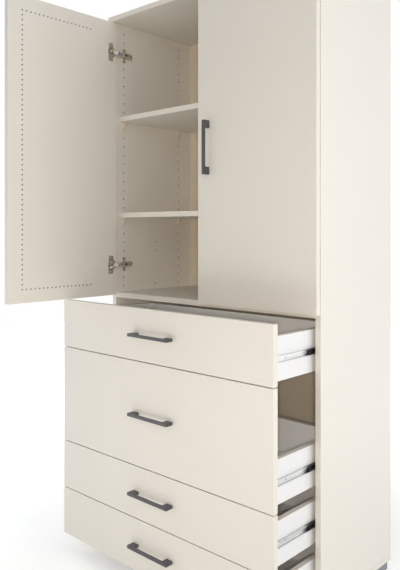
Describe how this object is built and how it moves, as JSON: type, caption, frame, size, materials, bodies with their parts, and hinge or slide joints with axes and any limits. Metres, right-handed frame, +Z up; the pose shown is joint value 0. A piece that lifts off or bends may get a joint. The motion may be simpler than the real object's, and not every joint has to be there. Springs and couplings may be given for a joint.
{
  "type": "chifforobe",
  "caption": "Tall chifforobe: hinged doors over full-width drawers, with loose shelves, bar handles, concealed cup hinges and ball-bearing slides.",
  "frame": {"origin": "on the floor, under the middle of the bottom panel's width and depth, which is the middle of the four feet's screw recesses", "axes": "+Z up, +X to the right for someone facing the doors, +Y to the back; the fronts face -Y"},
  "size_m": [0.9057, 0.8608, 1.8615],
  "materials": {
    "cashmere_board": "satin melamine-faced chipboard, cashmere",
    "white_board": "satin white melamine-faced board",
    "hardboard": "lacquered hardboard, cashmere",
    "handle_coating": "fine-textured anthracite powder coat",
    "hinge_steel": "nickel-plated pressed steel",
    "slide_steel": "zinc-plated rolled steel",
    "cage_plastic": "black moulded plastic",
    "support_plastic": "beige moulded plastic",
    "foot_plastic": "grey moulded plastic"
  },
  "bodies": {
    "root": {"side_panel_left": "cashmere_board", "side_panel_right": "cashmere_board", "top_panel": "cashmere_board", "bottom_panel": "cashmere_board", "back_panel": "hardboard", "fixed_shelf": "cashmere_board", "shelf_upper": "cashmere_board", "shelf_lower": "cashmere_board", "shelf_supports": "support_plastic", "feet": "foot_plastic", "cabinet_rails": "slide_steel", "hinge_plates": "hinge_steel", "hinge_arms": "hinge_steel"},
    "door_left_link": {"door_left_hinge_links": "hinge_steel"},
    "door_left": {"door_left_panel": "cashmere_board", "door_left_handle": "handle_coating", "door_left_hinge_cups": "hinge_steel"},
    "door_right_link": {"door_right_hinge_links": "hinge_steel"},
    "door_right": {"door_right_panel": "cashmere_board", "door_right_handle": "handle_coating", "door_right_hinge_cups": "hinge_steel"},
    "drawer_1": {"drawer_1_front": "cashmere_board", "drawer_1_side_left": "white_board", "drawer_1_side_right": "white_board", "drawer_1_back": "white_board", "drawer_1_bottom": "white_board", "drawer_1_handle": "handle_coating", "drawer_1_rails": "slide_steel"},
    "drawer_1_cage": {"drawer_1_ball_cages": "cage_plastic"},
    "drawer_2": {"drawer_2_front": "cashmere_board", "drawer_2_side_left": "white_board", "drawer_2_side_right": "white_board", "drawer_2_back": "white_board", "drawer_2_bottom": "white_board", "drawer_2_handle": "handle_coating", "drawer_2_rails": "slide_steel"},
    "drawer_2_cage": {"drawer_2_ball_cages": "cage_plastic"},
    "drawer_3": {"drawer_3_front": "cashmere_board", "drawer_3_side_left": "white_board", "drawer_3_side_right": "white_board", "drawer_3_back": "white_board", "drawer_3_bottom": "white_board", "drawer_3_handle": "handle_coating", "drawer_3_rails": "slide_steel"},
    "drawer_3_cage": {"drawer_3_ball_cages": "cage_plastic"},
    "drawer_4": {"drawer_4_front": "cashmere_board", "drawer_4_side_left": "white_board", "drawer_4_side_right": "white_board", "drawer_4_back": "white_board", "drawer_4_bottom": "white_board", "drawer_4_handle": "handle_coating", "drawer_4_rails": "slide_steel"},
    "drawer_4_cage": {"drawer_4_ball_cages": "cage_plastic"}
  },
  "joints": [
    {"name": "door_left_link_turn", "type": "hinge", "parent": "root", "child": "door_left_link", "pos_m": [-0.415, -0.193, 1.3455], "axis": [0, 0, -1], "range_deg": [-13.82, 61.47]},
    {"name": "door_left_swing", "type": "hinge", "parent": "door_left_link", "child": "door_left", "pos_m": [-0.41819, -0.21235, 1.3455], "axis": [0, 0, -1], "range_deg": [-151.27, 33.62]},
    {"name": "door_right_link_turn", "type": "hinge", "parent": "root", "child": "door_right_link", "pos_m": [0.415, -0.193, 1.3455], "axis": [0, 0, 1], "range_deg": [-75.09, 0.2]},
    {"name": "door_right_swing", "type": "hinge", "parent": "door_right_link", "child": "door_right", "pos_m": [0.4335, -0.1995, 1.3455], "axis": [0, 0, 1], "range_deg": [0, 184.89]},
    {"name": "drawer_1_slide", "type": "slide", "parent": "root", "child": "drawer_1", "axis": [0, -1, 0], "range_m": [-0.196, 0.066]},
    {"name": "drawer_1_cage_roll", "type": "slide", "parent": "root", "child": "drawer_1_cage", "axis": [0, -1, 0], "range_m": [-0.0982, 0.0332]},
    {"name": "drawer_2_slide", "type": "slide", "parent": "root", "child": "drawer_2", "axis": [0, -1, 0], "range_m": [-0.196, 0.066]},
    {"name": "drawer_2_cage_roll", "type": "slide", "parent": "root", "child": "drawer_2_cage", "axis": [0, -1, 0], "range_m": [-0.0982, 0.0332]},
    {"name": "drawer_3_slide", "type": "slide", "parent": "root", "child": "drawer_3", "axis": [0, -1, 0], "range_m": [-0.196, 0.066]},
    {"name": "drawer_3_cage_roll", "type": "slide", "parent": "root", "child": "drawer_3_cage", "axis": [0, -1, 0], "range_m": [-0.0982, 0.0332]},
    {"name": "drawer_4_slide", "type": "slide", "parent": "root", "child": "drawer_4", "axis": [0, -1, 0], "range_m": [-0.196, 0.066]},
    {"name": "drawer_4_cage_roll", "type": "slide", "parent": "root", "child": "drawer_4_cage", "axis": [0, -1, 0], "range_m": [-0.0982, 0.0332]}
  ],
  "couplings": [
    {"joint": "door_left_link_turn", "follows": "door_left_swing", "ratio": -0.40504},
    {"joint": "door_right_link_turn", "follows": "door_right_swing", "ratio": -0.40504},
    {"joint": "drawer_1_cage_roll", "follows": "drawer_1_slide", "ratio": 0.5},
    {"joint": "drawer_2_cage_roll", "follows": "drawer_2_slide", "ratio": 0.5},
    {"joint": "drawer_3_cage_roll", "follows": "drawer_3_slide", "ratio": 0.5},
    {"joint": "drawer_4_cage_roll", "follows": "drawer_4_slide", "ratio": 0.5}
  ]
}
